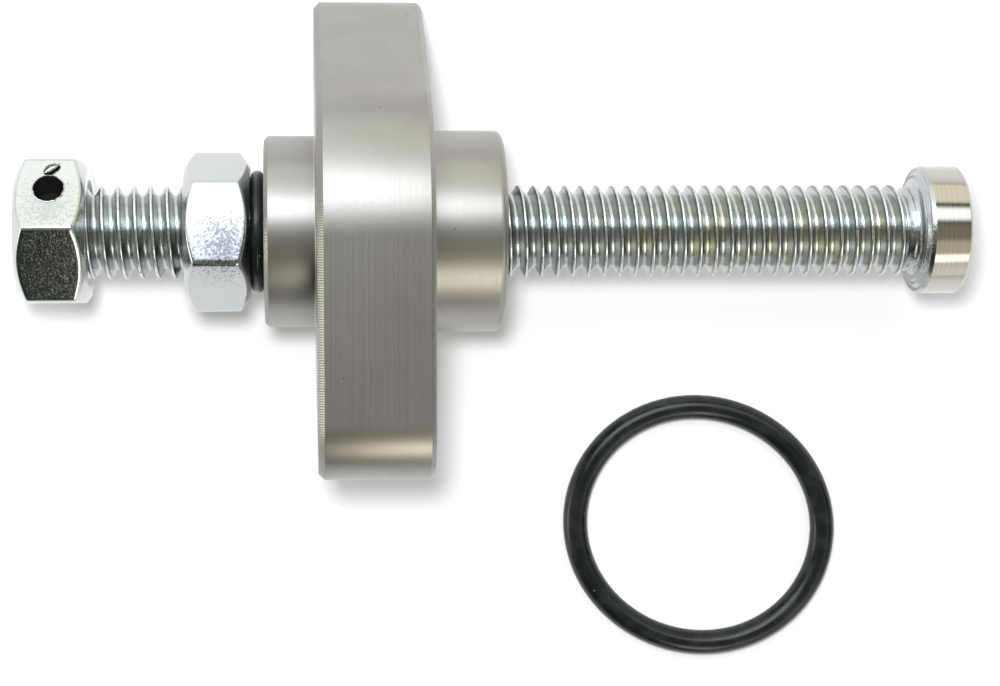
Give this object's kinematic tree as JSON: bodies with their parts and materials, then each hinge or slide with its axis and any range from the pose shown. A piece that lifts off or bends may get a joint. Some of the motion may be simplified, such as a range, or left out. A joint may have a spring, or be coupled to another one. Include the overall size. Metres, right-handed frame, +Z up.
{
  "type": "cam chain tensioner",
  "caption": "Manual cam chain tensioner: billet housing with a bolted flange and spigot, carrying a threaded adjuster with a round foot, a drilled hex nut, a lock nut and O-ring seals.",
  "frame": {"origin": "on the adjuster bolt's axis, in the face of the flange that meets the engine", "axes": "+X along the bolt towards its foot, +Z up with the flange lying on one of its flats, +Y along the flange"},
  "size_m": [0.0943, 0.0705, 0.032],
  "materials": {
    "billet_aluminium": "fine machined, satin clear finish",
    "zinc_plated_steel": "bright zinc plating, turned bare steel round the foot",
    "seal_rubber": "smooth black nitrile"
  },
  "bodies": {
    "housing": {"housing": "billet_aluminium", "flange_seal": "seal_rubber"},
    "thread_seal": {"thread_seal": "seal_rubber"},
    "adjuster": {"adjuster_bolt": "zinc_plated_steel", "head_nut": "zinc_plated_steel"},
    "lock_nut": {"lock_nut": "zinc_plated_steel"}
  },
  "joints": [
    {"name": "adjuster_turn", "type": "hinge", "parent": "housing", "child": "thread_seal", "pos_m": [0, 0, 0], "axis": [1, 0, 0], "range_deg": [-9360, 1620]},
    {"name": "adjuster_travel", "type": "slide", "parent": "thread_seal", "child": "adjuster", "axis": [1, 0, 0], "range_m": [-0.04127, 0.00714]},
    {"name": "lock_nut_slack", "type": "slide", "parent": "housing", "child": "lock_nut", "axis": [1, 0, 0], "range_m": [-0.00159, 0]}
  ],
  "couplings": [
    {"joint": "adjuster_turn", "follows": "adjuster_travel", "rad_per_m": 3957.9}
  ]
}
